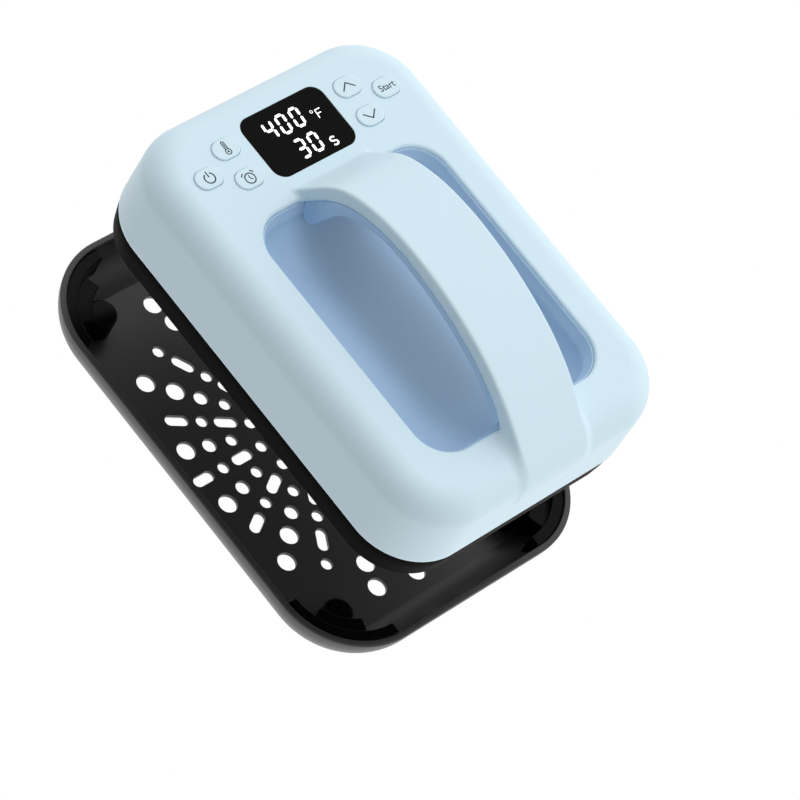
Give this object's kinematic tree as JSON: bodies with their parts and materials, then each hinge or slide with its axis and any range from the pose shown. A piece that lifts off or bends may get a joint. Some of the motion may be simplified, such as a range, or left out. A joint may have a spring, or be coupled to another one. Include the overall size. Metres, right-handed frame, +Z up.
{
  "type": "craft heat press with base tray",
  "caption": "Handheld flat heat press with bridge handle, key panel and display, drawn lifted above the perforated tray that it is parked in.",
  "frame": {"origin": "on the table, under the middle of the tray", "axes": "+X to the user's right, +Y to the display end away from the user, +Z up; the handle runs along Y"},
  "size_m": [0.2556, 0.3452, 0.262],
  "materials": {
    "tray_black": "satin black heat-resistant moulded plastic",
    "support_gloss": "polished black corner mouldings",
    "foot_rubber": "soft black rubber",
    "screw_steel": "zinc-plated steel",
    "shell_pale": "pale ice-blue satin moulded plastic",
    "key_pale": "pale ice-blue satin, dark printed symbol",
    "liner_blue": "mid-blue satin moulded plastic",
    "display_black": "near-black smoked window, white lit digits",
    "circuit_board": "green solder mask",
    "component_dark": "moulded black component",
    "skirt_black": "black heat-resistant plastic, satin",
    "plate_coated": "dark non-stick coating on cast aluminium",
    "heatsink_alu": "plain aluminium sheet",
    "mica_heater": "mica-faced flat heater",
    "insulation": "needled glass-fibre mat",
    "sheet_steel": "bright sheet steel",
    "brass_part": "turned brass",
    "component_white": "white nylon and ceramic"
  },
  "bodies": {
    "tray": {"base_tray": "tray_black", "corner_support_front_left": "support_gloss", "corner_support_front_right": "support_gloss", "corner_support_rear_right": "support_gloss", "corner_support_rear_left": "support_gloss", "rubber_foot_front_left": "foot_rubber", "rubber_foot_front_right": "foot_rubber", "rubber_foot_rear_right": "foot_rubber", "rubber_foot_rear_left": "foot_rubber", "support_screw_front_left": "screw_steel", "support_screw_front_right": "screw_steel", "support_screw_rear_right": "screw_steel", "support_screw_rear_left": "screw_steel"},
    "press": {"top_housing": "shell_pale", "handle_underside": "liner_blue", "handle_screw_rear": "screw_steel", "handle_screw_front": "screw_steel", "recess_tub": "liner_blue", "display_window": "display_black", "display_module": "component_dark", "control_board": "circuit_board", "switch_temperature": "component_dark", "switch_power": "component_dark", "switch_timer": "component_dark", "switch_up": "component_dark", "switch_start": "component_dark", "switch_down": "component_dark", "base_skirt": "skirt_black", "housing_screw_front_left": "screw_steel", "housing_screw_front_right": "screw_steel", "housing_screw_rear_right": "screw_steel", "housing_screw_rear_left": "screw_steel", "heat_plate": "plate_coated", "heating_element": "mica_heater", "insulation_pad": "insulation", "heat_shield": "sheet_steel", "plate_standoff_front_left": "brass_part", "plate_standoff_front_right": "brass_part", "plate_standoff_rear_right": "brass_part", "plate_standoff_rear_left": "brass_part", "mounting_frame": "sheet_steel", "temperature_sensor": "component_white", "thermal_fuse": "brass_part", "power_board": "circuit_board", "relay": "component_dark", "triac_heatsink": "heatsink_alu", "terminal_block": "component_white", "wireless_module": "circuit_board", "buzzer": "component_dark", "cord_inlet": "skirt_black"},
    "key_temperature": {"button_temperature": "key_pale"},
    "key_power": {"button_power": "key_pale"},
    "key_timer": {"button_timer": "key_pale"},
    "key_up": {"button_up": "key_pale"},
    "key_start": {"button_start": "key_pale"},
    "key_down": {"button_down": "key_pale"}
  },
  "joints": [
    {"name": "press_lift", "type": "slide", "parent": "tray", "child": "press", "axis": [0, 0, 1], "range_m": [-0.0835, 0.1]},
    {"name": "temperature_press", "type": "slide", "parent": "press", "child": "key_temperature", "axis": [0, 0, -1], "range_m": [0, 0.0008], "stiffness_N_per_m": 1200},
    {"name": "power_press", "type": "slide", "parent": "press", "child": "key_power", "axis": [0, 0, -1], "range_m": [0, 0.0008], "stiffness_N_per_m": 1200},
    {"name": "timer_press", "type": "slide", "parent": "press", "child": "key_timer", "axis": [0, 0, -1], "range_m": [0, 0.0008], "stiffness_N_per_m": 1200},
    {"name": "up_press", "type": "slide", "parent": "press", "child": "key_up", "axis": [0, 0, -1], "range_m": [0, 0.0008], "stiffness_N_per_m": 1200},
    {"name": "start_press", "type": "slide", "parent": "press", "child": "key_start", "axis": [0, 0, -1], "range_m": [0, 0.0008], "stiffness_N_per_m": 1200},
    {"name": "down_press", "type": "slide", "parent": "press", "child": "key_down", "axis": [0, 0, -1], "range_m": [0, 0.0008], "stiffness_N_per_m": 1200}
  ]
}
